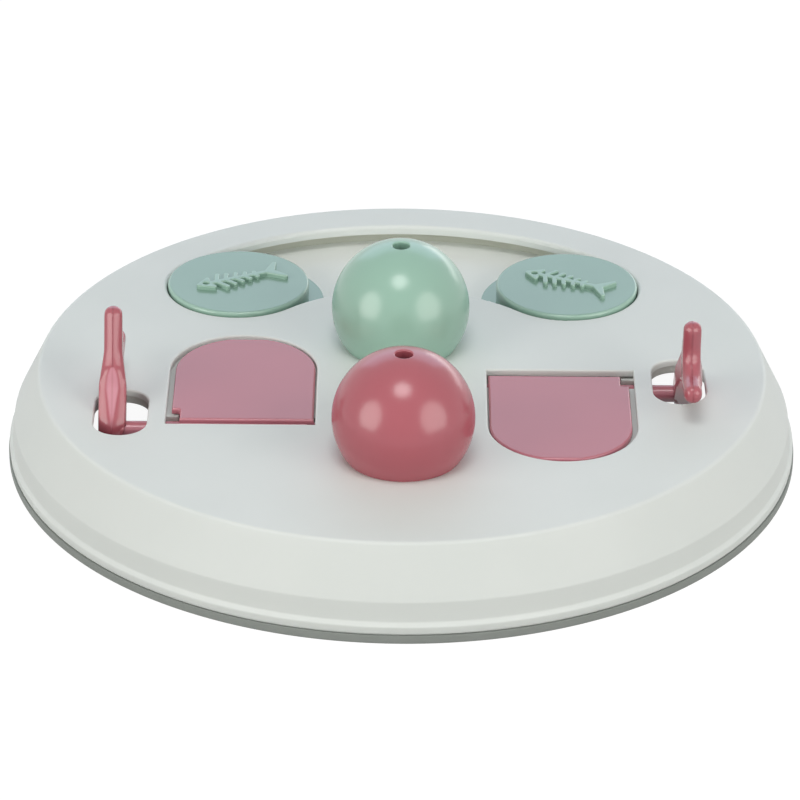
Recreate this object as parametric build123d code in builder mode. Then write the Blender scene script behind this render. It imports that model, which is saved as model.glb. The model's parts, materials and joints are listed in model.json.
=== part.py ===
from build123d import *

import os
from math import atan2, cos, radians, sin, sqrt, tan

# Pet puzzle board: a round board with two lift-off domes, two flip lids worked by hook levers
# and two discs that slide in a curved slot, each over a hidden treat well.
# Millimetres, +Z up. The origin is the middle of the soft ring that the board stands on.
os.makedirs("parts", exist_ok=True)

# Board shell
shell_wall = 2.2
plate_height = 29.1
plate_margin = 19.6
plate_edge_round = 1.5
skirt_spread = 7.9
skirt_foot_round = 2.0
band_width = 6.3
band_spread = 0.65
bead_shoulder = 1.2
bead_spread = 1.1
bead_width = 2.85
bead_round = 0.9
opening_edge_round = 0.6

# Soft ring under the bead, which grips the rim of the shell
ring_height = 2.75
ring_reach = 0.3
ring_edge_round = 0.6
ring_lip_wall = 2.0
ring_lip_hook = 1.2
ring_lip_hook_height = 1.3
ring_grip_gap = 0.1
rim_width = 9.0

# Curved slot, its track and the sliding discs
slot_margin = 14.4
slot_edge_round = 1.2
slot_lip_width = 2.0
slot_lip_depth = 0.8
track_sweep_angle = 88.0
disc_radius = 23.1
disc_gap = 0.3
disc_rise = 1.15
disc_edge_round = 0.9
disc_wall = 2.0
flange_reach = 4.9
flange_gap = 0.4
flange_thickness = 1.8
flange_lift = 0.1
track_depth = 7.7
track_wall = 2.0
well_inset = 5.1
well_depth = 10.5
well_wall = 2.0
well_rim_reach = 1.6
well_rim_thickness = 1.0
well_fit_gap = 0.15

# Fish-bone figure on each disc, with its nose on the left
fish_length = 31.4
fish_height = 1.4
fish_edge_round = 0.45
fish_set_off = 0.7
fish_turns = {"left": 25.0, "right": -24.5}
head_length = 7.0
head_width = 9.4
head_round = 0.7
head_hollow = 1.0
nose_round = 1.2
eye_radius = 1.0
eye_from_nose = 4.2
spine_width = 2.0
rib_count = 5
rib_first = 0.9
rib_pitch = 3.3
rib_width = 1.6
rib_length_first = 6.6
rib_length_last = 3.4
rib_sweep_angle = 65.0
tail_length = 7.0
tail_width = 12.2
tail_fork = 2.7
tail_tip_length = 0.9
tail_tip_width = 1.1
tail_round = 0.5

# Play field: the lids and levers are the same on both sides, turned half a turn about its middle
field_gap = 3.55

# Flip lids
lid_spread = 26.8
lid_opening_width = 46.6
lid_opening_front = -19.0
lid_opening_straight = 37.0
lid_side_gap = 1.1
lid_set_off = 0.6
lid_free_gap = 1.9
lid_hinge_gap = 3.4
lid_drop = 0.3
lid_thickness = 1.8
lid_edge_round = 0.7
lid_notch_width = 2.6
lid_notch_length = 6.7
lid_notch_round = 1.0
lid_notch_gap = 0.5

# Hinge of each lid
axis_inset = 5.5
shaft_radius = 2.7
shaft_flat = 0.8
bearing_gap = 0.08
bearing_wall = 1.4
bearing_base = 2.0
hub_wall = 1.3
hub_sink = 1.0
hub_inset = 2.2
far_bearing_length = 5.5
far_pin_end_gap = 1.0

# Hook levers and the long holes that they stand in
lever_hole_gap = 5.65
lever_hole_lead = 1.7
lever_hole_width = 16.7
lever_hole_length = 30.0
lever_set_off = 2.7
stem_width = 8.6
horn_width = 5.7
stem_lean_angle = 40.0
stem_reach = 13.5
horn_reach = 24.0
lever_hub_wall = 1.5
lever_edge_round = 2.5
lever_cap = 1.5
lever_fit_gap = 0.05
horn_back = 14.9
horn_top = 34.1
horn_undercut = 1.6
tip_flat = 0.1
knee = (8.8, 20.6)
knee_round = 12.0
heel_height = 3.0
heel_round = 8.0
valley_rise = 0.3
valley_round = 6.5
toe_end = 33.5
toe_top = 19.1
toe_thickness = 5.7
shin_length = 19.3
armpit_round = 6.0
flank_round = 8.0

# Treat cups under the lids, with a ledge that each lid rests on
cup_margin = 0.8
cup_wall = 2.0
cup_floor_depth = 16.4
layer_thickness = 2.7
layer_margin = 3.5
layer_setback = 0.4
ledge_reach = 2.4
ledge_thickness = 1.5
ledge_hinge_gap = 2.8

# Domes and the wells under them
dome_radius = 22.0
dome_centre_height = 12.6
dome_wall = 2.8
dome_x = 0.56
dome_spacing = 75.3
scent_hole_radius = 2.7
scent_hole_round = 0.5
dome_seat = 2.7
spigot_gap = 0.3
spigot_wall = 1.8
spigot_depth = 2.0
dome_well_depth = 14.4

# Bosses under the plate, the sleeves that slip over them and their screws
boss_radius = 3.0
boss_length = 8.0
boss_gap = 0.2
sleeve_wall = 1.3
sleeve_floor = 2.0
sleeve_set_off = 3.5
far_sleeve_back = 8.0
lever_sleeve_turn_angle = 45.0
track_inner_spread_angle = 20.0
track_end_turn_angle = 10.0
pilot_radius = 1.1
pilot_depth = 7.0
screw_hole_radius = 1.6
screw_radius = 1.05
screw_length = 8.0
screw_head_radius = 2.9
screw_head_height = 2.0
screw_head_round = 0.8

# Places across the board, from the middle out to the bead
lid_x = -lid_spread - lid_opening_width / 2
lever_hole_x = lid_x - (lid_opening_width + lever_hole_width) / 2 - lever_hole_gap
lever_x = lever_hole_x - lever_set_off
plate_radius = lever_hole_width / 2 + plate_margin - lever_hole_x
skirt_radius = plate_radius + skirt_spread
band_radius = skirt_radius + band_spread
bead_radius = band_radius + bead_spread
ring_radius = bead_radius + ring_reach
rim_radius = bead_radius - rim_width

# Heights, from the floor up
bead_height = ring_height + bead_width
band_foot_height = bead_height + bead_shoulder
skirt_foot_height = band_foot_height + band_width
plate_under = plate_height - shell_wall
track_floor = plate_height - track_depth
hub_radius = shaft_radius + hub_wall
axis_height = plate_height - lid_drop - hub_sink - hub_radius
sleeve_bottom = plate_under - boss_length - sleeve_floor
skirt_lean = atan2(skirt_spread, plate_height - skirt_foot_height)
skirt_width = shell_wall / cos(skirt_lean)
sleeve_radius = boss_radius + boss_gap + sleeve_wall

# Slot and track, and the play field in front of them
slot_width = 2 * (disc_radius + disc_gap)
flange_radius = disc_radius + flange_reach
channel_width = 2 * (flange_radius + flange_gap)
well_radius = disc_radius - well_inset
track_radius = plate_radius - slot_margin - slot_width / 2
track_line = CenterArc((0, 0), track_radius, 90 - track_sweep_angle / 2, track_sweep_angle)
disc_places = {"left": track_line @ 1, "right": track_line @ 0}
lid_opening_arc = lid_opening_front + lid_opening_straight
lid_reach = lid_opening_arc + lid_opening_width / 2 + cup_margin + cup_wall
field_y = disc_places["left"].Y - channel_width / 2 - track_wall - field_gap - lid_reach
axis_y = lid_opening_front + axis_inset
lever_hole_y = axis_y + lever_hole_lead
sides = {"left": 1, "right": -1}
base_radius = sqrt(dome_radius**2 - dome_centre_height**2)
mouth_radius = base_radius - dome_seat
dome_places = {"front": (dome_x, field_y - dome_spacing / 2), "rear": (-dome_x, field_y + dome_spacing / 2)}


def field_plane(turn, height):
    # Horizontal plane of one lid and lever, with its origin in the middle of the play field
    return Plane(origin=(0, field_y, height), x_dir=(turn, 0, 0), z_dir=(0, 0, 1))


def field_point(turn, x, y):
    return (turn * x, field_y + turn * y)


def axis_plane(turn, x):
    # Upright plane across a hinge axis: local x is the way the hook points, local y is up
    x_place, y_place = field_point(turn, x, axis_y)
    return Plane(origin=(x_place, y_place, axis_height), x_dir=(0, turn, 0), z_dir=(turn, 0, 0))


def lid_shape(grow, front_grow, middle=lid_x):
    # D outline of a lid opening: straight at the hinge, round at the free end
    half_width = lid_opening_width / 2 + grow
    straight = lid_opening_straight + front_grow
    with Locations((middle, lid_opening_arc - straight / 2)):
        Rectangle(2 * half_width, straight)
    with Locations((middle, lid_opening_arc)):
        Circle(half_width)


def lever_hole_shape(grow):
    with Locations((lever_hole_x, lever_hole_y)):
        SlotOverall(lever_hole_length + 2 * grow, lever_hole_width + 2 * grow, rotation=90)


# Where the bosses and sleeves stand
lid_sleeve_reach = cup_margin + cup_wall + sleeve_set_off
lid_sleeve_radius = lid_opening_width / 2 + lid_sleeve_reach
lever_sleeve_turn = radians(lever_sleeve_turn_angle)
lid_sleeves = [
    (lid_x + lid_sleeve_radius, lid_opening_arc - far_sleeve_back),
    (
        lid_x - lid_sleeve_radius * cos(lever_sleeve_turn),
        lid_opening_arc + lid_sleeve_radius * sin(lever_sleeve_turn),
    ),
    (lid_x, lid_opening_front - lid_sleeve_reach),
]
track_sleeve_reach = channel_width / 2 + track_wall + sleeve_set_off
track_sleeve_radius = track_radius - track_sleeve_reach
track_sleeves = [
    (track_sleeve_radius * cos(radians(angle)), track_sleeve_radius * sin(radians(angle)))
    for angle in (90 - track_inner_spread_angle, 90 + track_inner_spread_angle)
]
for side, turn in sides.items():
    end = disc_places[side]
    end_reach = -turn * track_sleeve_reach * cos(radians(track_end_turn_angle))
    end_drop = track_sleeve_reach * sin(radians(track_end_turn_angle))
    track_sleeves.append((end.X + end_reach, end.Y - end_drop))
dome_sleeve_reach = mouth_radius + cup_wall + sleeve_set_off
dome_sleeves = {
    name: [(x - dome_sleeve_reach, y), (x + dome_sleeve_reach, y)] for name, (x, y) in dome_places.items()
}
cup_sleeves = {side: [field_point(turn, x, y) for x, y in lid_sleeves] for side, turn in sides.items()}
boss_places = list(track_sleeves)
for places in list(cup_sleeves.values()) + list(dome_sleeves.values()):
    boss_places += places


def add_sleeves(places):
    # Sleeves up to the underside of the plate, each with a floor that its screw clamps to a boss
    with Locations(*[(x, y, sleeve_bottom) for x, y in places]):
        Cylinder(
            sleeve_radius,
            plate_under - sleeve_bottom,
            align=(Align.CENTER, Align.CENTER, Align.MIN),
        )


def bore_sleeves(places):
    with Locations(*[(x, y, plate_under) for x, y in places]):
        Cylinder(
            boss_radius + boss_gap,
            boss_length,
            align=(Align.CENTER, Align.CENTER, Align.MAX),
            mode=Mode.SUBTRACT,
        )
        Cylinder(
            screw_hole_radius,
            boss_length + sleeve_floor,
            align=(Align.CENTER, Align.CENTER, Align.MAX),
            mode=Mode.SUBTRACT,
        )


# Top shell: plate, skirt, band and bead in one wall, turned in at the rim
crease_inside = plate_radius + shell_wall * tan(skirt_lean) - skirt_width
with BuildPart() as top_shell:
    with BuildSketch(Plane.XZ):
        with BuildLine():
            outside = FilletPolyline(
                (0, plate_height),
                (plate_radius, plate_height),
                (skirt_radius, skirt_foot_height),
                (band_radius, band_foot_height),
                (bead_radius, bead_height),
                (bead_radius, ring_height),
                (rim_radius, ring_height),
                radius=[plate_edge_round, skirt_foot_round, bead_round, bead_round, bead_round],
            )
            Polyline(
                outside @ 1,
                (rim_radius, ring_height + shell_wall),
                (skirt_radius - skirt_width, ring_height + shell_wall),
                (skirt_radius - skirt_width, skirt_foot_height),
                (crease_inside, plate_under),
                (0, plate_under),
                outside @ 0,
            )
        make_face()
    revolve(axis=Axis.Z)
    with BuildSketch(Plane.XY.offset(plate_under)):
        SlotArc(track_line, slot_width + 2 * slot_lip_width)
    extrude(amount=-slot_lip_depth)
    with BuildSketch(Plane.XY.offset(plate_height)):
        SlotArc(track_line, slot_width)
    extrude(amount=-2 * shell_wall, mode=Mode.SUBTRACT)
    fillet(top_shell.edges(Select.LAST).group_by(Axis.Z)[-1], slot_edge_round)
    with BuildSketch(Plane.XY.offset(plate_height)):
        with Locations(*dome_places.values()):
            Circle(mouth_radius)
    extrude(amount=-2 * shell_wall, mode=Mode.SUBTRACT)
    for turn in sides.values():
        with BuildSketch(field_plane(turn, plate_height)):
            lid_shape(0, 0)
            lever_hole_shape(0)
        extrude(amount=-2 * shell_wall, mode=Mode.SUBTRACT)
        fillet(top_shell.edges(Select.LAST).group_by(Axis.Z)[-1], opening_edge_round)
    with Locations(*[(x, y, plate_under) for x, y in boss_places]):
        Cylinder(boss_radius, boss_length, align=(Align.CENTER, Align.CENTER, Align.MAX))
    with Locations(*[(x, y, plate_under - boss_length) for x, y in boss_places]):
        Cylinder(
            pilot_radius,
            pilot_depth,
            align=(Align.CENTER, Align.CENTER, Align.MIN),
            mode=Mode.SUBTRACT,
        )
top_shell.part.label = "top_shell"
export_step(top_shell.part, "parts/top_shell.step")

# Soft ring: a flat tread with a lip that hooks over the rim of the shell
lip_outside = rim_radius - ring_grip_gap
hook_foot = ring_height + shell_wall + ring_grip_gap
with BuildPart() as grip_ring:
    with BuildSketch(Plane.XZ):
        with BuildLine():
            tread = FilletPolyline(
                (lip_outside - ring_lip_wall, hook_foot + ring_lip_hook_height),
                (lip_outside - ring_lip_wall, 0),
                (ring_radius, 0),
                (ring_radius, ring_height),
                radius=[ring_edge_round, ring_edge_round],
            )
            Polyline(
                tread @ 1,
                (lip_outside, ring_height),
                (lip_outside, hook_foot),
                (lip_outside + ring_lip_hook, hook_foot),
                (lip_outside, hook_foot + ring_lip_hook_height),
                tread @ 0,
            )
        make_face()
    revolve(axis=Axis.Z)
grip_ring.part.label = "grip_ring"
export_step(grip_ring.part, "parts/grip_ring.step")

# Slider track: a curved channel under the slot, with a stepped hole for a treat well at each end
well_outside = well_radius + well_wall
well_rim_radius = well_outside + well_rim_reach
with BuildPart() as slider_track:
    with BuildSketch(Plane.XY.offset(track_floor - track_wall)):
        SlotArc(track_line, channel_width + 2 * track_wall)
    extrude(amount=plate_under - track_floor + track_wall)
    add_sleeves(track_sleeves)
    with BuildSketch(Plane.XY.offset(track_floor)):
        SlotArc(track_line, channel_width)
    extrude(amount=plate_under - track_floor, mode=Mode.SUBTRACT)
    with Locations(*[(place.X, place.Y, track_floor) for place in disc_places.values()]):
        CounterBoreHole(
            radius=well_outside + well_fit_gap,
            counter_bore_radius=well_rim_radius + well_fit_gap,
            counter_bore_depth=well_rim_thickness,
            depth=2 * track_wall,
        )
    bore_sleeves(track_sleeves)
slider_track.part.label = "slider_track"
export_step(slider_track.part, "parts/slider_track.step")

# Treat wells under the resting places of the discs, each hung by its rim in the track floor
for side, place in disc_places.items():
    with BuildPart() as slider_cup:
        with Locations((place.X, place.Y, track_floor)):
            Cylinder(
                well_outside,
                well_depth + well_wall,
                align=(Align.CENTER, Align.CENTER, Align.MAX),
            )
            Cylinder(
                well_rim_radius,
                well_rim_thickness,
                align=(Align.CENTER, Align.CENTER, Align.MAX),
            )
            Hole(well_radius, depth=well_depth)
    slider_cup.part.label = f"{side}_slider_cup"
    export_step(slider_cup.part, f"parts/{side}_slider_cup.step")

# Sliders: a hollow disc that stands in the slot on a flange under the plate
slider_bottom = track_floor + flange_lift
disc_top = plate_height + disc_rise
nose = -fish_length / 2
head_back = nose + head_length
tail_end = fish_length / 2
tail_root = tail_end - tail_length
for side, place in disc_places.items():
    with BuildPart() as slider:
        with BuildSketch(Plane.XY.offset(slider_bottom)):
            with Locations((place.X, place.Y)):
                Circle(flange_radius)
        extrude(amount=flange_thickness)
        with BuildSketch(Plane.XY.offset(slider_bottom)):
            with Locations((place.X, place.Y)):
                Circle(disc_radius)
        extrude(amount=disc_top - slider_bottom)
        fillet(slider.edges().group_by(Axis.Z)[-1], disc_edge_round)
        with BuildSketch(Plane.XY.offset(slider_bottom)):
            with Locations((place.X, place.Y)):
                Circle(disc_radius - disc_wall)
        extrude(amount=disc_top - disc_wall - slider_bottom, mode=Mode.SUBTRACT)
        turned = fish_turns[side]
        fish_x_dir = (cos(radians(turned)), sin(radians(turned)), 0)
        fish_middle = (place.X, place.Y + fish_set_off, disc_top)
        with BuildSketch(Plane(origin=fish_middle, x_dir=fish_x_dir, z_dir=(0, 0, 1))):
            with BuildLine():
                FilletPolyline(
                    (nose, 0),
                    (head_back, head_width / 2),
                    (head_back - head_hollow, 0),
                    (head_back, -head_width / 2),
                    radius=[nose_round, head_round, head_round, head_round],
                    close=True,
                )
            make_face()
            with BuildLine():
                FilletPolyline(
                    (tail_root, 0),
                    (tail_end - tail_tip_length, tail_width / 2),
                    (tail_end, tail_width / 2 - tail_tip_width),
                    (tail_end - tail_fork, 0),
                    (tail_end, tail_tip_width - tail_width / 2),
                    (tail_end - tail_tip_length, -tail_width / 2),
                    radius=tail_round,
                    close=True,
                )
            make_face()
            with Locations((head_back - 2 * head_hollow, 0)):
                Rectangle(
                    tail_root + tail_fork - head_back + 2 * head_hollow,
                    spine_width,
                    align=(Align.MIN, Align.CENTER),
                )
            for i in range(rib_count):
                rib_length = rib_length_first + i * (rib_length_last - rib_length_first) / (rib_count - 1)
                middle = (rib_length - rib_width) / 2
                for sweep in (rib_sweep_angle, -rib_sweep_angle):
                    root = (head_back + rib_first + i * rib_pitch, 0)
                    reach = (middle * cos(radians(sweep)), middle * sin(radians(sweep)))
                    with Locations((root[0] + reach[0], root[1] + reach[1])):
                        SlotOverall(rib_length, rib_width, rotation=sweep)
            with Locations((nose + eye_from_nose, 0)):
                Circle(eye_radius, mode=Mode.SUBTRACT)
        extrude(amount=fish_height)
        fillet(slider.edges().group_by(Axis.Z)[-1], fish_edge_round)
    slider.part.label = f"{side}_slider"
    export_step(slider.part, f"parts/{side}_slider.step")

# Lids, each moulded with its hinge hub and shaft
lid_middle = lid_x + lid_set_off
lid_lever_edge = lid_middle - lid_opening_width / 2 + lid_side_gap
lid_far_edge = lid_middle + lid_opening_width / 2 - lid_side_gap
notch_edge = lid_lever_edge + lid_notch_width
lid_hinge_edge = lid_opening_front + lid_hinge_gap
lid_top = plate_height - lid_drop
far_bearing_start = lid_x + lid_opening_width / 2 + cup_margin
far_bearing_end = far_bearing_start + far_bearing_length
lever_inner_face = lever_x + stem_width / 2
lever_outer_face = lever_x - stem_width / 2
shaft_lever_end = lever_outer_face + lever_cap
for side, turn in sides.items():
    with BuildPart() as lid:
        with BuildSketch(field_plane(turn, lid_top - lid_thickness)) as lid_face:
            lid_shape(-lid_side_gap, -lid_hinge_gap, lid_middle)
            with Locations((lid_middle, lid_opening_arc + lid_opening_width / 2 - lid_free_gap)):
                Rectangle(
                    lid_opening_width,
                    lid_opening_width,
                    align=(Align.CENTER, Align.MIN),
                    mode=Mode.SUBTRACT,
                )
            with Locations((lid_lever_edge, lid_hinge_edge)):
                Rectangle(2 * lid_notch_width, 2 * lid_notch_length, mode=Mode.SUBTRACT)
            notch_corner = (notch_edge, lid_hinge_edge + lid_notch_length)
            fillet(lid_face.vertices().sort_by_distance(notch_corner)[0], lid_notch_round)
        extrude(amount=lid_thickness)
        fillet(lid.edges().group_by(Axis.Z)[-1], lid_edge_round)
        with BuildSketch(axis_plane(turn, notch_edge)):
            Circle(hub_radius)
        extrude(amount=lid_far_edge - hub_inset - notch_edge)
        with BuildSketch(axis_plane(turn, shaft_lever_end)):
            Circle(shaft_radius)
        extrude(amount=far_bearing_end - far_pin_end_gap - shaft_lever_end)
        with BuildSketch(axis_plane(turn, shaft_lever_end)):
            with Locations((0, shaft_radius - shaft_flat)):
                Rectangle(2 * shaft_radius, shaft_radius, align=(Align.CENTER, Align.MIN))
        extrude(amount=lever_inner_face - shaft_lever_end, mode=Mode.SUBTRACT)
    lid.part.label = f"{side}_lid"
    export_step(lid.part, f"parts/{side}_lid.step")

# Hook levers: a leaning stem that forks into an upright horn and a level toe
horn_front = horn_back + horn_width
horn_tip_round = horn_width / 2 - tip_flat
toe_tip_round = toe_thickness / 2 - tip_flat
lever_hub_radius = shaft_radius + lever_hub_wall
lean = radians(stem_lean_angle)
shin_foot = (lever_hub_radius * cos(lean), -lever_hub_radius * sin(lean))
armpit = (shin_foot[0] + shin_length * sin(lean), shin_foot[1] + shin_length * cos(lean))
socket_radius = shaft_radius + lever_fit_gap
for side, turn in sides.items():
    with BuildPart() as lever:
        with BuildSketch(axis_plane(turn, lever_x)):
            with BuildLine():
                outline = FilletPolyline(
                    (-lever_hub_radius, 0),
                    (-lever_hub_radius, heel_height),
                    knee,
                    (horn_back, horn_top),
                    (horn_front, horn_top),
                    (horn_front - horn_undercut, toe_top + valley_rise),
                    (toe_end, toe_top),
                    (toe_end, toe_top - toe_thickness),
                    armpit,
                    shin_foot,
                    radius=[
                        heel_round,
                        knee_round,
                        horn_tip_round,
                        horn_tip_round,
                        valley_round,
                        toe_tip_round,
                        toe_tip_round,
                        armpit_round,
                    ],
                )
                Line(outline @ 1, outline @ 0)
            make_face()
            Circle(lever_hub_radius)
        extrude(amount=stem_width, both=True)
        flank_plane = Plane(
            origin=axis_plane(turn, lever_x).origin,
            x_dir=(turn, 0, 0),
            z_dir=(0, -turn * cos(lean), sin(lean)),
        )
        with BuildSketch(flank_plane):
            with BuildLine():
                flank = FilletPolyline(
                    (stem_width / 2, -2 * lever_hub_radius),
                    (stem_width / 2, stem_reach),
                    (horn_width / 2, horn_reach),
                    (horn_width / 2, horn_reach + horn_top),
                    radius=[flank_round, flank_round],
                )
                Polyline(flank @ 1, (0, horn_reach + horn_top), (0, -2 * lever_hub_radius), flank @ 0)
            make_face()
            mirror(about=Plane.YZ)
        extrude(amount=2 * toe_end, both=True, mode=Mode.INTERSECT)
        fillet(lever.edges(), lever_edge_round)
        with BuildSketch(axis_plane(turn, shaft_lever_end)):
            Circle(socket_radius)
            with Locations((0, shaft_radius - shaft_flat + lever_fit_gap)):
                Rectangle(
                    2 * socket_radius,
                    socket_radius,
                    align=(Align.CENTER, Align.MIN),
                    mode=Mode.SUBTRACT,
                )
        extrude(amount=stem_width, mode=Mode.SUBTRACT)
    lever.part.label = f"{side}_lever"
    export_step(lever.part, f"parts/{side}_lever.step")

# Treat cups under the lids, with open-topped bearings for the shaft and a second layer round the lever hole
cup_floor = plate_height - cup_floor_depth
bearing_bottom = -shaft_radius - bearing_gap - bearing_base
bearing_half_width = shaft_radius + bearing_gap + bearing_wall
bearing_top = plate_under - axis_height
lever_bearing_start = lever_hole_x + lever_hole_width / 2 + layer_setback
lever_bearing_end = notch_edge - lid_notch_gap
for side, turn in sides.items():
    with BuildPart() as cup:
        with BuildSketch(field_plane(turn, plate_under)):
            lid_shape(cup_margin + cup_wall, cup_margin + cup_wall)
        extrude(amount=cup_floor - cup_wall - plate_under)
        with BuildSketch(field_plane(turn, plate_under)):
            lever_hole_shape(layer_setback + layer_margin)
        extrude(amount=-layer_thickness)
        add_sleeves(cup_sleeves[side])
        with BuildSketch(field_plane(turn, plate_under)):
            lid_shape(-ledge_reach, cup_margin)
            with Locations((lid_x, lid_opening_front - cup_margin)):
                Rectangle(
                    lid_opening_width + 2 * cup_margin,
                    cup_margin + axis_inset + ledge_hinge_gap,
                    align=(Align.CENTER, Align.MIN),
                )
        extrude(amount=-ledge_thickness, mode=Mode.SUBTRACT)
        with BuildSketch(field_plane(turn, plate_under - ledge_thickness)):
            lid_shape(cup_margin, cup_margin)
        extrude(amount=cup_floor - plate_under + ledge_thickness, mode=Mode.SUBTRACT)
        for start, end in ((lever_bearing_start, lever_bearing_end), (far_bearing_start, far_bearing_end)):
            with BuildSketch(axis_plane(turn, start)):
                with Locations((0, bearing_top)):
                    Rectangle(
                        2 * bearing_half_width,
                        bearing_top - bearing_bottom,
                        align=(Align.CENTER, Align.MAX),
                    )
            extrude(amount=end - start)
        with BuildSketch(field_plane(turn, plate_under)):
            lever_hole_shape(layer_setback)
        extrude(amount=-2 * layer_thickness, mode=Mode.SUBTRACT)
        with BuildSketch(axis_plane(turn, lever_bearing_start)):
            Circle(shaft_radius + bearing_gap)
            Rectangle(
                2 * (shaft_radius + bearing_gap),
                2 * bearing_top,
                align=(Align.CENTER, Align.MIN),
            )
        extrude(amount=far_bearing_end - lever_bearing_start, mode=Mode.SUBTRACT)
        bore_sleeves(cup_sleeves[side])
    cup.part.label = f"{side}_treat_cup"
    export_step(cup.part, f"parts/{side}_treat_cup.step")

# Domes: a hollow ball cut flat, with a spigot that drops into the mouth of its well
spigot_radius = mouth_radius - spigot_gap
ball_inside = dome_radius - dome_wall
floor_radius = sqrt(ball_inside**2 - (dome_centre_height - dome_wall) ** 2)
hole_top = dome_centre_height + sqrt(dome_radius**2 - scent_hole_radius**2)
hole_bottom = dome_centre_height + sqrt(ball_inside**2 - scent_hole_radius**2)
for name, (x, y) in dome_places.items():
    with BuildPart() as dome:
        with BuildSketch(Plane(origin=(x, y, plate_height), x_dir=(1, 0, 0), z_dir=(0, -1, 0))):
            with BuildLine():
                ThreePointArc(
                    (base_radius, 0),
                    (dome_radius, dome_centre_height),
                    (scent_hole_radius, hole_top),
                )
                Line((scent_hole_radius, hole_top), (scent_hole_radius, hole_bottom))
                ThreePointArc(
                    (scent_hole_radius, hole_bottom),
                    (ball_inside, dome_centre_height),
                    (floor_radius, dome_wall),
                )
                Polyline(
                    (floor_radius, dome_wall),
                    (spigot_radius - spigot_wall, dome_wall),
                    (spigot_radius - spigot_wall, -spigot_depth),
                    (spigot_radius, -spigot_depth),
                    (spigot_radius, 0),
                    (base_radius, 0),
                )
            make_face()
        revolve(axis=Axis((x, y, 0), (0, 0, 1)))
        fillet(dome.edges().group_by(Axis.Z)[-1], scent_hole_round)
    dome.part.label = f"{name}_dome"
    export_step(dome.part, f"parts/{name}_dome.step")

# Wells under the domes
for name, (x, y) in dome_places.items():
    with BuildPart() as dome_cup:
        with BuildSketch(Plane.XY.offset(plate_under)):
            with Locations((x, y)):
                Circle(mouth_radius + cup_wall)
        extrude(amount=shell_wall - dome_well_depth - cup_wall)
        add_sleeves(dome_sleeves[name])
        with BuildSketch(Plane.XY.offset(plate_under)):
            with Locations((x, y)):
                Circle(mouth_radius)
        extrude(amount=shell_wall - dome_well_depth, mode=Mode.SUBTRACT)
        bore_sleeves(dome_sleeves[name])
    dome_cup.part.label = f"{name}_dome_cup"
    export_step(dome_cup.part, f"parts/{name}_dome_cup.step")

# Screws up through the sleeve floors into the bosses
with BuildPart() as tray_screws:
    with BuildSketch(Plane.XY.offset(sleeve_bottom)):
        with Locations(*boss_places):
            Circle(screw_head_radius)
    extrude(amount=-screw_head_height)
    fillet(tray_screws.edges().group_by(Axis.Z)[0], screw_head_round)
    with BuildSketch(Plane.XY.offset(sleeve_bottom)):
        with Locations(*boss_places):
            Circle(screw_radius)
    extrude(amount=screw_length)
tray_screws.part.label = "tray_screws"
export_step(tray_screws.part, "parts/tray_screws.step")
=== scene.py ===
import json
from math import cos, pi, radians, sin, sqrt

import bmesh
import bpy
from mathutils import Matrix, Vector


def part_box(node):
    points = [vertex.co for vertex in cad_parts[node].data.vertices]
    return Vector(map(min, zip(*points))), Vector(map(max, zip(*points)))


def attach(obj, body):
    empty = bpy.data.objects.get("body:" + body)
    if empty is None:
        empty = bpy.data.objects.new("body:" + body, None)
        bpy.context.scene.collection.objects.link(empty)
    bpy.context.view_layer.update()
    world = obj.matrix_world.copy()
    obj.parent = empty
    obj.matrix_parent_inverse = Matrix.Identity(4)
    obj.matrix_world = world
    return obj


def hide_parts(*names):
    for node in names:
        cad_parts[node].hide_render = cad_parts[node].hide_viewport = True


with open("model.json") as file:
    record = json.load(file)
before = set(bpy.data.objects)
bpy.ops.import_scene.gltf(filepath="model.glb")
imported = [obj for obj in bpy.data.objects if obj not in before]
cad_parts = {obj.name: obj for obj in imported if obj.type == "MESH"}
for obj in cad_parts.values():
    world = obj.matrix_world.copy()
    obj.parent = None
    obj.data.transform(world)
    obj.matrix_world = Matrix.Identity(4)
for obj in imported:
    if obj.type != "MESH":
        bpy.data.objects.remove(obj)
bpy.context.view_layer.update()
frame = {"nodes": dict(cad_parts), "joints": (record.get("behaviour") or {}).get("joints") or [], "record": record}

mm = 0.001
scene = bpy.context.scene
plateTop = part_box("top_shell")[1][2]
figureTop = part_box("left_slider")[1][2]
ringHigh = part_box("grip_ring")[1]
leverLow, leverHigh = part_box("right_lever")


def linear(hexText):
    parts = [int(hexText[i:i + 2], 16) / 255 for i in (1, 3, 5)]
    return [p / 12.92 if p <= 0.04045 else ((p + 0.055) / 1.055) ** 2.4 for p in parts] + [1.0]


def addNode(tree, kind, inputs=None, **settings):
    node = tree.nodes.new(kind)
    for key, value in settings.items():
        setattr(node, key, value)
    for key, value in (inputs or {}).items():
        if isinstance(value, bpy.types.NodeSocket):
            tree.links.new(value, node.inputs[key])
        else:
            node.inputs[key].default_value = value
    return node


# materials

# polypropylene from a spark-eroded mould: a dull even grain, faint clouds where the melt flowed,
# and light that creeps a few millimetres into the thin walls
boardLook = {
    "name": "mouldedPolypropyleneGrey",
    "colour": "#D6DAD7",
    "cloud": "#D1D6D3",
    "cloudMm": 30.0,
    "grainMm": 0.7,      # drawn coarser than such a grain really is, so that it shows
    "grainDepthMm": 0.010,
    "roughness": (0.56, 0.64),
    "ior": 1.49,
    "creepMm": 2.5,
    "creep": 0.35,
}
# the treat cups are drawn a darker grey than the board, which stands in for the shade in the narrow gaps round the
# lids: painted shade
shadedTrayLook = dict(boardLook, name="mouldedPolypropyleneTrayPaintedShade", colour="#C6C9C4", cloud="#BFC2BD")
# the photograph shows the track's floor paler than its walls
# the track's steep walls are painted a darker grey than its floor: painted shade in the slot
trackLook = dict(boardLook, name="mouldedPolypropyleneTrack", colour="#E4E8E3", cloud="#DEE2DD",
                 steepPaintedLight="#C6C8BC", steepFacing=(0.95, 0.6))
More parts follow.
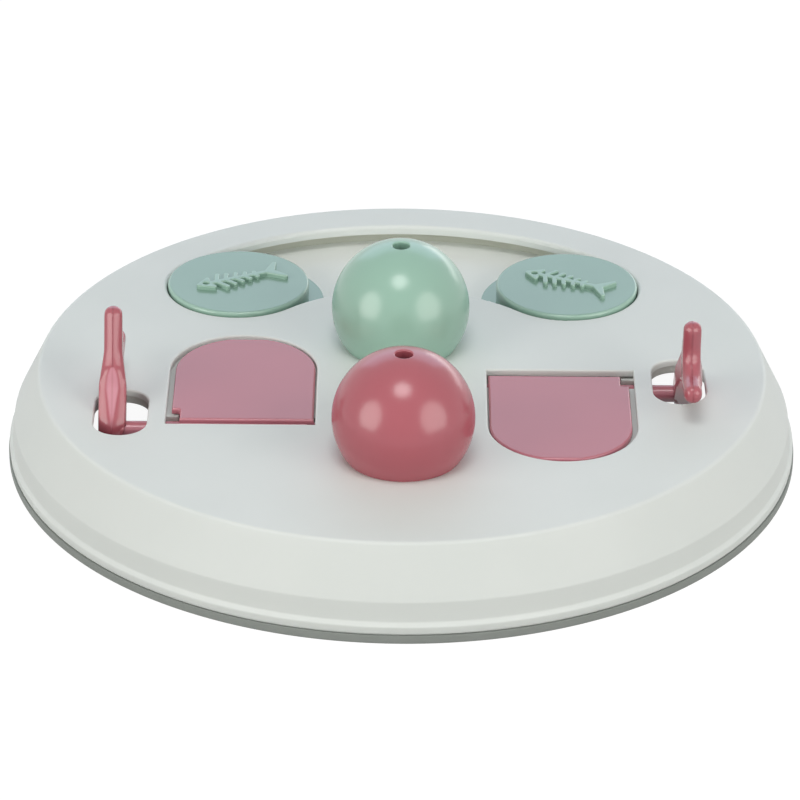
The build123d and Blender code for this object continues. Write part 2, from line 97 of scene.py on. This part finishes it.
# ABS from a polished mould: satin gloss with a slight orange peel
pinkLook = {
    "name": "mouldedAbsDustyPink",
    "colour": "#A95761",
    "cloud": "#A5545E",
    "cloudMm": 18.0,
    "grainMm": 1.1,
    "grainDepthMm": 0.0015,
    "roughness": (0.20, 0.24),
    "ior": 1.55,
}
# a raised mould line runs down the middle of a lever, and the photograph shows a paler flat
# at the back of its stem
# the paler colour on the flat is a painted highlight, and the darker colour on the raised mould line is painted
# shade along it
leverLook = dict(pinkLook, name="mouldedAbsGrainedPink", flat="#C48591", flatRoughness=0.45,
                 mouldLine="#934650", mouldLineAt=(leverLow[0] + leverHigh[0]) / 2,
                 mouldLineHalfMm=0.5, mouldLineHeightMm=0.07, mouldLineOnFlat=0.3)
# the photograph shows a lid's rounded edges paler than its top
# the paler colour on a lid's rounded edges is a painted highlight
lidLook = dict(pinkLook, name="mouldedAbsPinkLid", steepPaintedLight="#BC7480", steepFacing=(0.985, 0.7))
sageLook = dict(pinkLook, name="mouldedAbsSageGreen", colour="#92B7A6", cloud="#8EB3A2")
# the photograph shows the discs' flat tops deeper and greyer than the dome, with a paler edge and figure
# the paler colour on the discs' upper edges and on the raised figure is a painted highlight
discLook = dict(pinkLook, name="mouldedAbsDeepSage", colour="#7F9F90", cloud="#7B9B8C",
                steepPaintedLight="#97B8A8", steepFacing=(0.985, 0.85),
                steepFrom=(plateTop - 1.1 * mm, plateTop + 0.3 * mm),
                figure="#8BAC9D", figureFrom=(figureTop - 1.25 * mm, figureTop - 0.65 * mm))
# thermoplastic rubber: no gloss and a soft tooth
ringLook = {
    "name": "mouldedSoftRubberGrey",
    "colour": "#8E938F",
    "cloud": "#858A86",
    "cloudMm": 9.0,
    "grainMm": 0.8,
    "grainDepthMm": 0.03,
    "roughness": (0.62, 0.74),
    "ior": 1.50,
}
# zinc-plated steel: bluish grey and a little dull
screwLook = {
    "name": "zincPlatedSteel",
    "colour": "#B9BDC0",
    "cloud": "#A4A9AE",
    "cloudMm": 1.2,
    "grainMm": 0.3,
    "grainDepthMm": 0.01,
    "roughness": (0.28, 0.45),
    "metallic": 1.0,
}
cloudDetail = 1.0
grainDetail = 2.0


def makeMaterial(look):
    # inputs 0, 6 and 7 of a colour mix are its share and its two colours, and output 2 is the result
    material = bpy.data.materials.new(look["name"])
    material.use_nodes = True
    tree = material.node_tree
    tree.nodes.clear()
    spot = addNode(tree, "ShaderNodeTexCoord").outputs
    axes = addNode(tree, "ShaderNodeSeparateXYZ", {0: spot["Object"]}).outputs
    clouds = addNode(tree, "ShaderNodeTexNoise", {
        "Vector": spot["Object"], "Scale": 1 / (look["cloudMm"] * mm), "Detail": cloudDetail}).outputs["Fac"]
    grain = addNode(tree, "ShaderNodeTexNoise", {
        "Vector": spot["Object"], "Scale": 1 / (look["grainMm"] * mm), "Detail": grainDetail}).outputs["Fac"]
    colour = addNode(tree, "ShaderNodeMix", {
        0: clouds, 6: linear(look["colour"]), 7: linear(look["cloud"])}, data_type="RGBA").outputs[2]
    polish = addNode(tree, "ShaderNodeMapRange", {
        "Value": clouds, "To Min": look["roughness"][0], "To Max": look["roughness"][1]}).outputs["Result"]
    bump = addNode(tree, "ShaderNodeBump", {
        "Height": grain, "Strength": 1.0, "Distance": look["grainDepthMm"] * mm}).outputs["Normal"]
    # the raised figure is painted paler by its height: a painted highlight
    if "figure" in look:
        low, high = look["figureFrom"]
        raised = addNode(tree, "ShaderNodeMapRange", {
            "Value": axes["Z"], "From Min": low, "From Max": high}).outputs["Result"]
        colour = addNode(tree, "ShaderNodeMix", {
            0: raised, 6: colour, 7: linear(look["figure"])}, data_type="RGBA").outputs[2]
    # steep faces get another colour by their slope: painted shade on the track's walls, a painted highlight on the
    # edges of lids and discs
    if "steepPaintedLight" in look:
        level, tilted = look["steepFacing"]
        upright = addNode(tree, "ShaderNodeSeparateXYZ", {0: spot["Normal"]}).outputs["Z"]
        upright = addNode(tree, "ShaderNodeMath", {0: upright}, operation="ABSOLUTE").outputs[0]
        share = addNode(tree, "ShaderNodeMapRange", {
            "Value": upright, "From Min": level, "From Max": tilted}).outputs["Result"]
        if "steepFrom" in look:
            low, high = look["steepFrom"]
            raised = addNode(tree, "ShaderNodeMapRange", {
                "Value": axes["Z"], "From Min": low, "From Max": high}).outputs["Result"]
            share = addNode(tree, "ShaderNodeMath", {0: share, 1: raised}, operation="MULTIPLY").outputs[0]
        colour = addNode(tree, "ShaderNodeMix", {
            0: share, 6: colour, 7: linear(look["steepPaintedLight"])}, data_type="RGBA").outputs[2]
    # the flat at the back of a lever's stem is painted paler: a painted highlight
    if "flat" in look:
        share = addNode(tree, "ShaderNodeAttribute", attribute_name="stemFlat").outputs["Fac"]
        colour = addNode(tree, "ShaderNodeMix", {
            0: share, 6: colour, 7: linear(look["flat"])}, data_type="RGBA").outputs[2]
        polish = addNode(tree, "ShaderNodeMapRange", {
            "Value": share, "To Min": polish, "To Max": look["flatRoughness"]}).outputs["Result"]
        # both levers stand equally far from the board's middle, and their mould line is fainter on the flat
        apart = addNode(tree, "ShaderNodeMath", {0: axes["X"]}, operation="ABSOLUTE").outputs[0]
        apart = addNode(tree, "ShaderNodeMath", {
            0: apart, 1: look["mouldLineAt"]}, operation="SUBTRACT").outputs[0]
        apart = addNode(tree, "ShaderNodeMath", {0: apart}, operation="ABSOLUTE").outputs[0]
        line = addNode(tree, "ShaderNodeMapRange", {
            "Value": apart, "From Min": look["mouldLineHalfMm"] * mm, "From Max": 0.0}).outputs["Result"]
        kept = addNode(tree, "ShaderNodeMapRange", {
            "Value": share, "To Min": 1.0, "To Max": look["mouldLineOnFlat"]}).outputs["Result"]
        line = addNode(tree, "ShaderNodeMath", {0: line, 1: kept}, operation="MULTIPLY").outputs[0]
        # the bump raises the mould line, and its darker colour is painted shade along it
        colour = addNode(tree, "ShaderNodeMix", {
            0: line, 6: colour, 7: linear(look["mouldLine"])}, data_type="RGBA").outputs[2]
        bump = addNode(tree, "ShaderNodeBump", {
            "Height": line, "Strength": 1.0, "Distance": look["mouldLineHeightMm"] * mm,
            "Normal": bump}).outputs["Normal"]
    shader = addNode(tree, "ShaderNodeBsdfPrincipled", {
        "Base Color": colour, "Roughness": polish, "Normal": bump,
        "Metallic": look.get("metallic", 0.0), "IOR": look.get("ior", 1.5)})
    if "creep" in look:
        shader.inputs["Subsurface Weight"].default_value = look["creep"]
        shader.inputs["Subsurface Radius"].default_value = (1.0, 1.0, 1.0)
        shader.inputs["Subsurface Scale"].default_value = look["creepMm"] * mm
    addNode(tree, "ShaderNodeOutputMaterial", {"Surface": shader.outputs["BSDF"]})
    return material


slotMaterials = {
    "board_grey": makeMaterial(boardLook),
    "tray_grey": makeMaterial(shadedTrayLook),
    "ring_rubber": makeMaterial(ringLook),
    "sage_green": makeMaterial(sageLook),
    "dusty_pink": makeMaterial(pinkLook),
    "screw_steel": makeMaterial(screwLook),
}
nodeSlots = {part["node"]: part["material_slot"] for part in frame["record"]["subparts"]}
print("materials made:", len(slotMaterials))

# CAD nodes that stay get the finish of their slot, or their own
nodeMaterials = dict.fromkeys(("left_slider", "right_slider"), makeMaterial(discLook))
nodeMaterials.update(dict.fromkeys(("left_lid", "right_lid"), makeMaterial(lidLook)))
nodeMaterials["slider_track"] = makeMaterial(trackLook)
for name, node in frame["nodes"].items():
    node.data.materials.clear()
    node.data.materials.append(nodeMaterials.get(name, slotMaterials[nodeSlots[name]]))

# steps that several pieces share
weldDistance = 0.001 * mm


def mergedCopy(node):
    copy = bmesh.new()
    copy.from_mesh(node.data)
    bmesh.ops.remove_doubles(copy, verts=copy.verts, dist=weldDistance)
    return copy


def newPiece(name, mesh):
    piece = bpy.data.objects.new(name, mesh)
    scene.collection.objects.link(piece)
    return piece


def evaluatedMesh(piece):
    return bpy.data.meshes.new_from_object(piece.evaluated_get(bpy.context.evaluated_depsgraph_get()))


def nodesMesh(hostMesh, tree, inputs):
    # the plain mesh that a node tree makes from its host, whose modifier goes with it
    host = newPiece(hostMesh.name, hostMesh)
    setter = host.modifiers.new(tree.name, "NODES")
    setter.node_group = tree
    for socket in tree.interface.items_tree:
        if socket.in_out == "INPUT" and socket.name in inputs:
            setter[socket.identifier] = inputs[socket.name]
    mesh = evaluatedMesh(host)
    bpy.data.objects.remove(host)
    return mesh


# screws under the board: pan heads with a cross recess, one where each CAD screw stands
screwPiece = {
    "headRadius": 2.9 * mm,
    "headHeight": 2.0 * mm,
    "headRound": 0.8 * mm,
    "shankRadius": 1.05 * mm,
    "shankLength": 8.0 * mm,
    "crossLength": 3.3 * mm,
    "crossWidth": 0.8 * mm,
    "crossDepth": 1.1 * mm,
}
screwTurnSeed = 7
screwHeadSides = 36
screwHeadRings = 10
screwShankSides = 20
screwSharpDegrees = 35


def screwSeats():
    copy = mergedCopy(frame["nodes"]["tray_screws"])
    unseen = set(copy.verts)
    seats = []
    while unseen:
        island = edge = {unseen.pop()}
        while edge:
            edge = {e.other_vert(v) for v in edge for e in v.link_edges} - island
            island = island | edge
        unseen -= island
        middle = [(min(v.co[i] for v in island) + max(v.co[i] for v in island)) / 2 for i in (0, 1)]
        seats.append((middle[0], middle[1], min(v.co.z for v in island) + screwPiece["headHeight"]))
    copy.free()
    return sorted(seats)


def screwTree():
    tree = bpy.data.node_groups.new("screwSet", "GeometryNodeTree")
    tree.interface.new_socket("seats", in_out="INPUT", socket_type="NodeSocketGeometry")
    for key in screwPiece:
        tree.interface.new_socket(key, in_out="INPUT", socket_type="NodeSocketFloat")
    tree.interface.new_socket("turnSeed", in_out="INPUT", socket_type="NodeSocketInt")
    tree.interface.new_socket("finish", in_out="INPUT", socket_type="NodeSocketMaterial")
    tree.interface.new_socket("screws", in_out="OUTPUT", socket_type="NodeSocketGeometry")
    given = addNode(tree, "NodeGroupInput").outputs
    half = addNode(tree, "ShaderNodeMath", {0: given["headHeight"], 1: 0.5}, operation="MULTIPLY").outputs[0]
    face = addNode(tree, "ShaderNodeMath", {0: half, 1: -1.0}, operation="MULTIPLY").outputs[0]
    # head: a drum whose lower rim is drawn in along a quarter circle
    drum = addNode(tree, "GeometryNodeMeshCylinder", {
        "Vertices": screwHeadSides, "Side Segments": screwHeadRings,
        "Radius": given["headRadius"], "Depth": given["headHeight"]})
    spot = addNode(tree, "ShaderNodeSeparateXYZ", {
        0: addNode(tree, "GeometryNodeInputPosition").outputs[0]}).outputs
    start = addNode(tree, "ShaderNodeMath", {0: face, 1: given["headRound"]}, operation="ADD").outputs[0]
    down = addNode(tree, "ShaderNodeMapRange", {
        "Value": spot["Z"], "From Min": start, "From Max": face}).outputs["Result"]
    square = addNode(tree, "ShaderNodeMath", {0: down, 1: down}, operation="MULTIPLY").outputs[0]
    rest = addNode(tree, "ShaderNodeMath", {0: 1.0, 1: square}, operation="SUBTRACT").outputs[0]
    bulge = addNode(tree, "ShaderNodeMath", {0: rest}, operation="SQRT").outputs[0]
    core = addNode(tree, "ShaderNodeMath", {
        0: given["headRadius"], 1: given["headRound"]}, operation="SUBTRACT").outputs[0]
    reach = addNode(tree, "ShaderNodeMath", {
        0: bulge, 1: given["headRound"], 2: core}, operation="MULTIPLY_ADD").outputs[0]
    share = addNode(tree, "ShaderNodeMath", {
        0: reach, 1: given["headRadius"]}, operation="DIVIDE").outputs[0]
    across = addNode(tree, "ShaderNodeMath", {0: spot["X"], 1: share}, operation="MULTIPLY").outputs[0]
    along = addNode(tree, "ShaderNodeMath", {0: spot["Y"], 1: share}, operation="MULTIPLY").outputs[0]
    place = addNode(tree, "ShaderNodeCombineXYZ", {"X": across, "Y": along, "Z": spot["Z"]})
    head = addNode(tree, "GeometryNodeSetPosition", {
        "Geometry": drum.outputs["Mesh"], "Position": place.outputs[0]})
    # cross recess in the face that looks at the floor
    deep = addNode(tree, "ShaderNodeMath", {0: given["crossDepth"], 1: 2.0}, operation="MULTIPLY").outputs[0]
    lower = addNode(tree, "ShaderNodeCombineXYZ", {"Z": face}).outputs[0]
    cut = addNode(tree, "GeometryNodeMeshBoolean", {
        "Mesh 1": head.outputs["Geometry"]}, operation="DIFFERENCE")
    for wide, tall in (("crossLength", "crossWidth"), ("crossWidth", "crossLength")):
        size = addNode(tree, "ShaderNodeCombineXYZ", {"X": given[wide], "Y": given[tall], "Z": deep})
        bar = addNode(tree, "GeometryNodeMeshCube", {"Size": size.outputs[0]})
        moved = addNode(tree, "GeometryNodeTransform", {
            "Geometry": bar.outputs["Mesh"], "Translation": lower})
        tree.links.new(moved.outputs["Geometry"], cut.inputs["Mesh 2"])
    shank = addNode(tree, "GeometryNodeMeshCylinder", {
        "Vertices": screwShankSides, "Radius": given["shankRadius"], "Depth": given["shankLength"]})
    rise = addNode(tree, "ShaderNodeMath", {
        0: given["shankLength"], 1: 0.5, 2: half}, operation="MULTIPLY_ADD").outputs[0]
    raised = addNode(tree, "ShaderNodeCombineXYZ", {"Z": rise})
    stood = addNode(tree, "GeometryNodeTransform", {
        "Geometry": shank.outputs["Mesh"], "Translation": raised.outputs[0]})
    screw = addNode(tree, "GeometryNodeJoinGeometry", {"Geometry": cut.outputs["Mesh"]})
    tree.links.new(stood.outputs["Geometry"], screw.inputs["Geometry"])
    hung = addNode(tree, "GeometryNodeTransform", {
        "Geometry": screw.outputs["Geometry"], "Translation": lower})
    turn = addNode(tree, "FunctionNodeRandomValue", {
        2: 0.0, 3: pi, "Seed": given["turnSeed"]}, data_type="FLOAT")
    turned = addNode(tree, "ShaderNodeCombineXYZ", {"Z": turn.outputs[1]})
    laid = addNode(tree, "GeometryNodeInstanceOnPoints", {
        "Points": given["seats"], "Instance": hung.outputs["Geometry"], "Rotation": turned.outputs[0]})
    real = addNode(tree, "GeometryNodeRealizeInstances", {"Geometry": laid.outputs["Instances"]})
    done = addNode(tree, "GeometryNodeSetMaterial", {
        "Geometry": real.outputs["Geometry"], "Material": given["finish"]})
    addNode(tree, "NodeGroupOutput", {0: done.outputs["Geometry"]})
    return tree


seatMesh = bpy.data.meshes.new("screwSeats")
seatMesh.from_pydata(screwSeats(), [], [])
screwMesh = nodesMesh(seatMesh, screwTree(), dict(
    screwPiece, turnSeed=screwTurnSeed, finish=slotMaterials["screw_steel"]))
screwMesh.shade_smooth()
screwMesh.set_sharp_from_angle(angle=radians(screwSharpDegrees))
screws = newPiece("trayScrews", screwMesh)
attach(screws, "board")
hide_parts("tray_screws")
print("screws set:", len(seatMesh.vertices))

# soft ring under the rim: one section turned round the board, with a lip that hooks over the shell's rim
ringPiece = {
    "radius": ringHigh[0],
    "treadHeight": 2.75 * mm,
    "edgeRound": 0.6 * mm,
    "lipRadius": 115.9 * mm,
    "lipWall": 2.0 * mm,
    "hookFoot": 5.05 * mm,
    "hookReach": 1.2 * mm,
    "top": ringHigh[2],
}
ringSegments = 320
ringRoundSteps = 4
ringSharpDegrees = 40


def ringTree():
    tree = bpy.data.node_groups.new("ringTurn", "GeometryNodeTree")
    for key in ringPiece:
        tree.interface.new_socket(key, in_out="INPUT", socket_type="NodeSocketFloat")
    tree.interface.new_socket("finish", in_out="INPUT", socket_type="NodeSocketMaterial")
    tree.interface.new_socket("ring", in_out="OUTPUT", socket_type="NodeSocketGeometry")
    given = addNode(tree, "NodeGroupInput").outputs
    inside = addNode(tree, "ShaderNodeMath", {
        0: given["lipRadius"], 1: given["lipWall"]}, operation="SUBTRACT").outputs[0]
    hooked = addNode(tree, "ShaderNodeMath", {
        0: given["lipRadius"], 1: given["hookReach"]}, operation="ADD").outputs[0]
    # corners of the section as radius, height and rounding: the hook, the tread's outside, the floor
    # and the lip's inside
    corners = [
        (given["lipRadius"], given["top"], 0.0),
        (hooked, given["hookFoot"], 0.0),
        (given["lipRadius"], given["hookFoot"], 0.0),
        (given["lipRadius"], given["treadHeight"], 0.0),
        (given["radius"], given["treadHeight"], 0.0),
        (given["radius"], 0.0, given["edgeRound"]),
        (inside, 0.0, given["edgeRound"]),
        (inside, given["top"], 0.0),
    ]
    index = addNode(tree, "GeometryNodeInputIndex").outputs[0]
    spots = addNode(tree, "GeometryNodeIndexSwitch", {"Index": index}, data_type="VECTOR")
    rounds = addNode(tree, "GeometryNodeIndexSwitch", {"Index": index}, data_type="FLOAT")
    for switch in (spots, rounds):
        while len(switch.index_switch_items) < len(corners):
            switch.index_switch_items.new()
    for number, (out, up, rounding) in enumerate(corners):
        # the sweep lays x outwards from the path and y downwards
        offset = addNode(tree, "ShaderNodeMath", {
            0: out, 1: given["radius"]}, operation="SUBTRACT").outputs[0]
        drop = addNode(tree, "ShaderNodeMath", {0: up, 1: -1.0}, operation="MULTIPLY").outputs[0]
        spot = addNode(tree, "ShaderNodeCombineXYZ", {"X": offset, "Y": drop})
        tree.links.new(spot.outputs[0], spots.inputs[number + 1])
        if rounding:
            tree.links.new(rounding, rounds.inputs[number + 1])
    loop = addNode(tree, "GeometryNodeCurvePrimitiveCircle", {
        "Resolution": len(corners), "Radius": given["treadHeight"]})
    section = addNode(tree, "GeometryNodeSetPosition", {
        "Geometry": loop.outputs["Curve"], "Position": spots.outputs[0]})
    section = addNode(tree, "GeometryNodeFilletCurve", {
        "Curve": section.outputs["Geometry"], "Count": ringRoundSteps,
        "Radius": rounds.outputs[0]}, mode="POLY")
    path = addNode(tree, "GeometryNodeCurvePrimitiveCircle", {
        "Resolution": ringSegments, "Radius": given["radius"]})
    turned = addNode(tree, "GeometryNodeCurveToMesh", {
        "Curve": path.outputs["Curve"], "Profile Curve": section.outputs["Curve"]})
    real = addNode(tree, "GeometryNodeRealizeInstances", {"Geometry": turned.outputs["Mesh"]})
    done = addNode(tree, "GeometryNodeSetMaterial", {
        "Geometry": real.outputs["Geometry"], "Material": given["finish"]})
    addNode(tree, "NodeGroupOutput", {0: done.outputs["Geometry"]})
    return tree


ringMesh = nodesMesh(bpy.data.meshes.new("ringHost"), ringTree(), dict(
    ringPiece, finish=slotMaterials["ring_rubber"]))
ringMesh.shade_smooth()
ringMesh.set_sharp_from_angle(angle=radians(ringSharpDegrees))
ring = newPiece("softGripRing", ringMesh)
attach(ring, "board")
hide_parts("grip_ring")
print("ring turned:", len(ringMesh.polygons), "faces")

# hook levers: each half of the mould has its draft, so the flanks slope to a ridge down the middle,
# and the back of the stem has a flat, blunt at its upper end, that runs out to a point below
leverPiece = {
    "voxelMm": 0.35,
    "draft": 0.26,
    "ridgeGain": 1.3,
    "softFactor": 0.5,
    "softStepsBefore": 6,
    "softStepsAfter": 5,
    "leanDegrees": 40.0,
    "flatHalfWidthMm": 2.2,
    "flatFootMm": -3.0,
    "flatWidestMm": 12.0,
    "flatEndMm": 18.5,
    "flatDepthMm": 1.1,
    "flatEdgeMm": 0.7,
    "backFacing": 0.45,
    "toeStartMm": 20.0,
    "toeFadeMm": 6.0,
}
leverPink = makeMaterial(leverLook)


def flatAt(reach):
    # half width of the flat at this height up the stem, and how deep it is cut in
    foot, widest, end = (leverPiece[k] * mm for k in ("flatFootMm", "flatWidestMm", "flatEndMm"))
    if reach <= foot or reach >= end:
        return 0.0, 0.0
    rise = (reach - foot) / (widest - foot)
    past = max(0.0, (reach - widest) / (end - widest))
    width = min(rise, sqrt(1 - past ** 2))
    depth = min(1.0, rise) * (1 + cos(pi * past)) / 2
    return leverPiece["flatHalfWidthMm"] * mm * width, leverPiece["flatDepthMm"] * mm * depth


def soften(fine, steps):
    for step in range(steps):
        bmesh.ops.smooth_vert(fine, verts=fine.verts, factor=leverPiece["softFactor"],
                              use_axis_x=True, use_axis_y=True, use_axis_z=True)


def shapeLever(side, turn):
    node = frame["nodes"][side + "_lever"]
    low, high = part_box(side + "_lever")
    middle = (low[0] + high[0]) / 2
    hinge = next(j for j in frame["joints"] if j["name"] == side + "_flap_hinge")["pos_m"]
    copy = mergedCopy(node)
    mesh = bpy.data.meshes.new(side + "LeverDraft")
    copy.to_mesh(mesh)
    copy.free()
    draft = newPiece(side + "LeverDraft", mesh)
    remesh = draft.modifiers.new("evenMesh", "REMESH")
    remesh.mode = "VOXEL"
    remesh.voxel_size = leverPiece["voxelMm"] * mm
    fine = bmesh.new()
    fine.from_mesh(evaluatedMesh(draft))
    bpy.data.objects.remove(draft)
    soften(fine, leverPiece["softStepsBefore"])
    fine.normal_update()
    lean = radians(leverPiece["leanDegrees"])
    backward = Vector((0.0, -turn * cos(lean), sin(lean)))
    moves = []
    onFlat = fine.verts.layers.float.new("stemFlat")
    for vertex in fine.verts:
        out = Vector((0.0, vertex.normal.y, vertex.normal.z))
        away = abs(vertex.co.x - middle)
        ahead = turn * (vertex.co.y - hinge[1])
        reach = ahead * sin(lean) + (vertex.co.z - hinge[2]) * cos(lean)
        flat, cut = flatAt(reach) if out.dot(backward) > leverPiece["backFacing"] else (0.0, 0.0)
        vertex[onFlat] = min(1.0, max(0.0, (flat - away) / (leverPiece["flatEdgeMm"] * mm)))
        ridge = min(1.0, leverPiece["ridgeGain"] * abs(vertex.normal.y))
        ridge *= min(1.0, max(0.0, 1 - (ahead / mm - leverPiece["toeStartMm"]) / leverPiece["toeFadeMm"]))
        moves.append(out * -(cut + leverPiece["draft"] * ridge * max(0.0, away - flat)))
    for vertex, move in zip(fine.verts, moves):
        vertex.co += move
    soften(fine, leverPiece["softStepsAfter"])
    fineMesh = bpy.data.meshes.new(side + "LeverHook")
    fine.to_mesh(fineMesh)
    fine.free()
    fineMesh.shade_smooth()
    fineMesh.materials.append(leverPink)
    lever = newPiece(side + "LeverHook", fineMesh)
    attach(lever, side + "_flap")
    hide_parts(side + "_lever")
    return lever


for side, turn in (("left", 1), ("right", -1)):
    print("lever shaped:", len(shapeLever(side, turn).data.polygons), "faces")

# camera at the photograph's place, with its slight roll
cameraLook = {
    "lensMm": 211.505,
    "sensorMm": 36.0,
    "place": (-0.000525, -1.326867, 0.715402),
    "tiltDegrees": 62.2095,
    "rollDegrees": 0.4871,
}
cameraData = bpy.data.cameras.new("photoCamera")
cameraData.lens = cameraLook["lensMm"]
cameraData.sensor_width = cameraLook["sensorMm"]
camera = bpy.data.objects.new("photoCamera", cameraData)
camera.location = cameraLook["place"]
camera.rotation_euler = (radians(cameraLook["tiltDegrees"]), 0.0, 0.0)
camera.rotation_euler.rotate_axis("Z", radians(cameraLook["rollDegrees"]))
scene.collection.objects.link(camera)
scene.camera = camera

# soft studio lamps: a small one high up, a large one each side, a cool one behind
# and a low strip behind on the right
lampLooks = [
    {"name": "overheadLamp", "from": (-0.03, -0.34, 0.94), "away": 1.2, "size": (0.50, 0.50), "watts": 4.0,
     "colour": "#FFFFFF", "shape": "DISK"},
    {"name": "leftSoftbox", "from": (-0.79, -0.53, 0.305), "away": 1.4, "size": (0.92, 1.12), "watts": 9.8,
     "colour": "#FFFDF8", "shape": "ELLIPSE"},
    {"name": "rightSoftbox", "from": (0.74, -0.60, 0.305), "away": 1.4, "size": (1.10, 1.26), "watts": 11.0,
     "colour": "#FFFDF8", "shape": "ELLIPSE"},
    {"name": "backSheet", "from": (0.0, 0.88, 0.48), "away": 1.5, "size": (1.8, 0.9), "watts": 5.6,
     "colour": "#C4E0FF", "shape": "RECTANGLE"},
    {"name": "rimStrip", "from": (0.50, 0.85, 0.14), "away": 1.5, "size": (1.0, 0.3), "watts": 1.9,
     "colour": "#FFFFFF", "shape": "RECTANGLE"},
]
for look in lampLooks:
    lampData = bpy.data.lights.new(look["name"], "AREA")
    lampData.shape = look["shape"]
    lampData.size, lampData.size_y = look["size"]
    lampData.energy = look["watts"]
    lampData.color = linear(look["colour"])[:3]
    lamp = bpy.data.objects.new(look["name"], lampData)
    toward = Vector(look["from"]).normalized()
    lamp.location = toward * look["away"]
    lamp.rotation_euler = toward.to_track_quat("Z", "Y").to_euler()
    scene.collection.objects.link(lamp)


def seenDirectly(tree):
    # 1 where the eye, a gloss or a clear part looks, and 0 for light that only fills
    path = addNode(tree, "ShaderNodeLightPath").outputs
    seen = addNode(tree, "ShaderNodeMath", {
        0: path["Is Camera Ray"], 1: path["Is Glossy Ray"]}, operation="MAXIMUM").outputs[0]
    return addNode(tree, "ShaderNodeMath", {
        0: seen, 1: path["Is Transmission Ray"]}, operation="MAXIMUM").outputs[0]


# surroundings: white where they are seen, elsewhere a softer fill that grows a little towards the zenith
fillLook = {"level": 0.26, "zenith": 0.35}
world = bpy.data.worlds.new("paleRoom")
world.use_nodes = True
scene.world = world
tree = world.node_tree
tree.nodes.clear()
way = addNode(tree, "ShaderNodeSeparateXYZ", {0: addNode(tree, "ShaderNodeTexCoord").outputs["Generated"]})
fill = addNode(tree, "ShaderNodeMapRange", {
    "Value": way.outputs["Z"], "To Min": fillLook["level"], "To Max": fillLook["zenith"]})
strength = addNode(tree, "ShaderNodeMix", {0: seenDirectly(tree), 2: fill.outputs["Result"], 3: 1.0})
back = addNode(tree, "ShaderNodeBackground", {"Color": linear("#FFFFFF"), "Strength": strength.outputs[0]})
addNode(tree, "ShaderNodeOutputWorld", {"Surface": back.outputs["Background"]})

# floor: mostly its own white to the eye, so that only a faint contact shadow is left
floorLook = {"half": 6.0, "colour": "#A0A0A0", "glow": 0.94, "paint": 0.12}
floorMesh = bpy.data.meshes.new("paleFloor")
half = floorLook["half"]
floorMesh.from_pydata(
    [(-half, -half, 0), (half, -half, 0), (half, half, 0), (-half, half, 0)], [], [(0, 1, 2, 3)])
floor = newPiece("paleFloor", floorMesh)
floorMaterial = bpy.data.materials.new("paintedPaleFloor")
floorMaterial.use_nodes = True
tree = floorMaterial.node_tree
tree.nodes.clear()
plain = addNode(tree, "ShaderNodeBsdfDiffuse", {"Color": linear(floorLook["colour"])})
paint = addNode(tree, "ShaderNodeBsdfDiffuse", {"Color": [floorLook["paint"]] * 3 + [1.0]})
glow = addNode(tree, "ShaderNodeEmission", {"Color": linear("#FFFFFF"), "Strength": floorLook["glow"]})
lit = addNode(tree, "ShaderNodeAddShader", {0: paint.outputs[0], 1: glow.outputs[0]})
both = addNode(tree, "ShaderNodeMixShader", {
    0: seenDirectly(tree), 1: plain.outputs[0], 2: lit.outputs[0]})
addNode(tree, "ShaderNodeOutputMaterial", {"Surface": both.outputs[0]})
floorMesh.materials.append(floorMaterial)
scene.view_settings.view_transform = "Standard"
print("camera, lamps and floor set")
